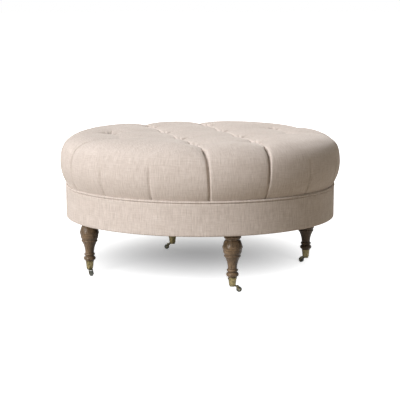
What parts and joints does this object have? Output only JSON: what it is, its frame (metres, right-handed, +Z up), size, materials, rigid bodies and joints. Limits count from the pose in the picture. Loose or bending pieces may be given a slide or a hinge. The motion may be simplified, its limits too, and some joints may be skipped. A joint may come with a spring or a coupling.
{
  "type": "ottoman coffee table",
  "caption": "Round upholstered ottoman coffee table: tufted pleated cushion over a padded apron, on turned wooden legs with brass cup casters.",
  "frame": {"origin": "on the floor, under the middle of the round cushion", "axes": "+Z up; the legs stand on the X and Y axes, -Y is the leg nearest the viewer (front right), -X the front left leg"},
  "size_m": [0.9649, 0.965, 0.483],
  "materials": {
    "upholstery": "matte",
    "foam": "matte",
    "plywood": "matte",
    "frame_wood": "matte",
    "twine": "matte",
    "washer": "matte",
    "dust_cloth": "matte",
    "zinc_steel": "satin",
    "turned_wood": "satin",
    "aged_brass": "satin",
    "steel_pin": "satin",
    "wheel": "satin"
  },
  "bodies": {
    "root": {"apron_band": "plywood", "apron_cover": "upholstery", "caster_cup_back_left": "aged_brass", "caster_cup_back_right": "aged_brass", "caster_cup_front_left": "aged_brass", "caster_cup_front_right": "aged_brass", "cross_rail_lower": "frame_wood", "cross_rail_upper": "frame_wood", "cup_screws": "aged_brass", "deck_board": "plywood", "deck_screws": "zinc_steel", "dust_cover": "dust_cloth", "foam_core": "foam", "frame_post_1": "frame_wood", "frame_post_2": "frame_wood", "frame_post_3": "frame_wood", "frame_post_4": "frame_wood", "frame_screws": "zinc_steel", "hanger_bolts": "zinc_steel", "leg_back_left": "turned_wood", "leg_back_right": "turned_wood", "leg_front_left": "turned_wood", "leg_front_right": "turned_wood", "leg_post_back_left": "frame_wood", "leg_post_back_right": "frame_wood", "leg_post_front_left": "frame_wood", "leg_post_front_right": "frame_wood", "lower_ring": "plywood", "tee_nuts": "zinc_steel", "tufted_cover": "upholstery", "tufting_twines": "twine", "twine_washers": "washer", "upper_ring": "plywood", "welt_cord": "upholstery"},
    "horn_front_left": {"caster_horn_front_left": "aged_brass", "caster_axle_front_left": "steel_pin"},
    "wheel_front_left": {"caster_wheel_front_left": "wheel"},
    "horn_front_right": {"caster_horn_front_right": "aged_brass", "caster_axle_front_right": "steel_pin"},
    "wheel_front_right": {"caster_wheel_front_right": "wheel"},
    "horn_back_right": {"caster_horn_back_right": "aged_brass", "caster_axle_back_right": "steel_pin"},
    "wheel_back_right": {"caster_wheel_back_right": "wheel"},
    "horn_back_left": {"caster_horn_back_left": "aged_brass", "caster_axle_back_left": "steel_pin"},
    "wheel_back_left": {"caster_wheel_back_left": "wheel"}
  },
  "joints": [
    {"name": "swivel_front_left", "type": "hinge", "parent": "root", "child": "horn_front_left", "pos_m": [-0.392, 0, 0.0234], "axis": [0, 0, 1], "continuous": true},
    {"name": "roll_front_left", "type": "hinge", "parent": "horn_front_left", "child": "wheel_front_left", "pos_m": [-0.39123, -0.02199, 0.00925], "axis": [0.9994, 0.0349, 0], "continuous": true},
    {"name": "swivel_front_right", "type": "hinge", "parent": "root", "child": "horn_front_right", "pos_m": [0, -0.392, 0.0234], "axis": [0, 0, 1], "continuous": true},
    {"name": "roll_front_right", "type": "hinge", "parent": "horn_front_right", "child": "wheel_front_right", "pos_m": [0.02192, -0.39392, 0.00925], "axis": [0.0872, 0.9962, 0], "continuous": true},
    {"name": "swivel_back_right", "type": "hinge", "parent": "root", "child": "horn_back_right", "pos_m": [0.392, 0, 0.0234], "axis": [0, 0, 1], "continuous": true},
    {"name": "roll_back_right", "type": "hinge", "parent": "horn_back_right", "child": "wheel_back_right", "pos_m": [0.3827, 0.01994, 0.00925], "axis": [-0.9063, -0.4226, 0], "continuous": true},
    {"name": "swivel_back_left", "type": "hinge", "parent": "root", "child": "horn_back_left", "pos_m": [0, 0.392, 0.0234], "axis": [0, 0, 1], "continuous": true},
    {"name": "roll_back_left", "type": "hinge", "parent": "horn_back_left", "child": "wheel_back_left", "pos_m": [-0.02192, 0.39392, 0.00925], "axis": [-0.0872, -0.9962, 0], "continuous": true}
  ]
}
